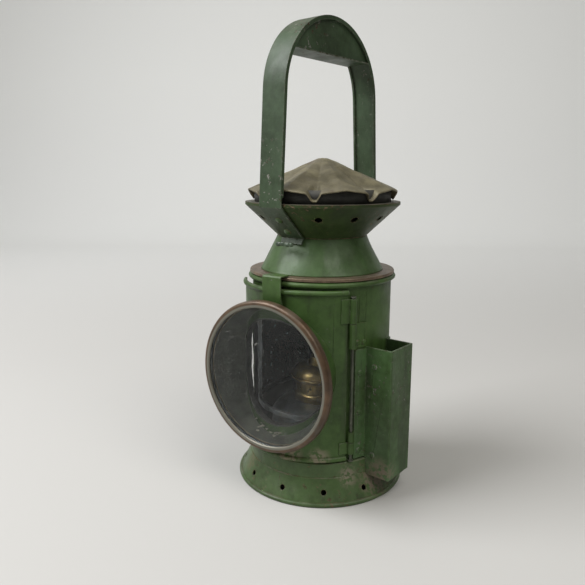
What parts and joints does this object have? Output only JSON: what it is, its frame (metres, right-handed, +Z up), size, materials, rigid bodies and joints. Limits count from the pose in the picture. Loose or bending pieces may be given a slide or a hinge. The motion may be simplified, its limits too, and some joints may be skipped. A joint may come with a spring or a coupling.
{
  "type": "oil hand lamp",
  "caption": "Sheet-metal hand lantern with a hinged lens door, a turning top that carries coloured glasses, and a brass oil burner.",
  "frame": {"origin": "centre of the foot, on the surface the lamp stands on", "axes": "+Z up, -Y towards the lens, +X towards the lamp-iron socket"},
  "size_m": [0.126, 0.1294, 0.3134],
  "materials": {
    "green_paint": "old gloss enamel, worn at edges",
    "worn_copper": "paint worn to a coppery brown",
    "rusted_plate": "heat-stained, rusty brown olive",
    "tinplate": "dull tinned steel",
    "dark_steel": "dark, partly painted",
    "brass": "tarnished",
    "green_glass": "blue-green signal glass",
    "red_glass": "ruby signal glass",
    "clear_glass": "clear, slightly dusty",
    "cotton": "woven cotton"
  },
  "bodies": {
    "body": {"foot_ring": "green_paint", "body_floor": "tinplate", "body_shell": "green_paint", "body_top_bead": "green_paint", "hinge_leaf_upper": "green_paint", "hinge_leaf_lower": "green_paint", "hinge_pin": "dark_steel", "hinge_rivets": "green_paint", "lamp_iron_socket": "green_paint", "socket_rivets": "green_paint", "socket_side_rivets": "green_paint", "lamp_seat": "tinplate", "oil_font": "tinplate", "burner_collar": "brass", "burner_body": "brass", "burner_dome": "brass", "wick_tube": "brass"},
    "top": {"rim_flange": "worn_copper", "cage_sleeve": "tinplate", "hood_cone": "green_paint", "gallery": "green_paint", "gallery_plate": "rusted_plate", "chimney": "tinplate", "hat": "rusted_plate", "handle_strap": "green_paint", "grip_plate_right": "green_paint", "grip_plate_left": "green_paint", "grip_base": "green_paint", "handle_rivets": "green_paint", "cage_upper_ring": "tinplate", "cage_lower_ring": "tinplate", "cage_rail_1": "tinplate", "cage_rail_2": "tinplate", "cage_rail_3": "tinplate", "cage_rail_4": "tinplate", "green_glass": "green_glass", "red_glass": "red_glass", "blank_panel": "tinplate"},
    "door": {"door_panel": "green_paint", "door_top_bead": "green_paint", "door_bottom_bead": "green_paint", "door_leaf_upper": "green_paint", "door_leaf_lower": "green_paint", "lens_tube": "green_paint", "lens_collar": "tinplate", "lens_bezel": "worn_copper", "lens_glass": "clear_glass", "lens_retainer": "tinplate", "catch_strap": "green_paint"},
    "winder": {"wick_winder": "brass", "winder_knob": "brass"},
    "wick": {"wick": "cotton"}
  },
  "joints": [
    {"name": "top_turn", "type": "hinge", "parent": "body", "child": "top", "pos_m": [0, 0, 0.15], "axis": [0, 0, 1], "continuous": true},
    {"name": "door_swing", "type": "hinge", "parent": "body", "child": "door", "pos_m": [0.04426, -0.02504, 0.085], "axis": [0, 0, 1], "range_deg": [-4.4, 100.6]},
    {"name": "winder_turn", "type": "hinge", "parent": "body", "child": "winder", "pos_m": [0, 0.0035, 0.066], "axis": [-1, 0, 0], "range_deg": [0, 154.7]},
    {"name": "wick_lift", "type": "slide", "parent": "body", "child": "wick", "axis": [0, 0, 1], "range_m": [0, 0.006]}
  ],
  "couplings": [
    {"joint": "winder_turn", "follows": "wick_lift", "rad_per_m": 400}
  ]
}
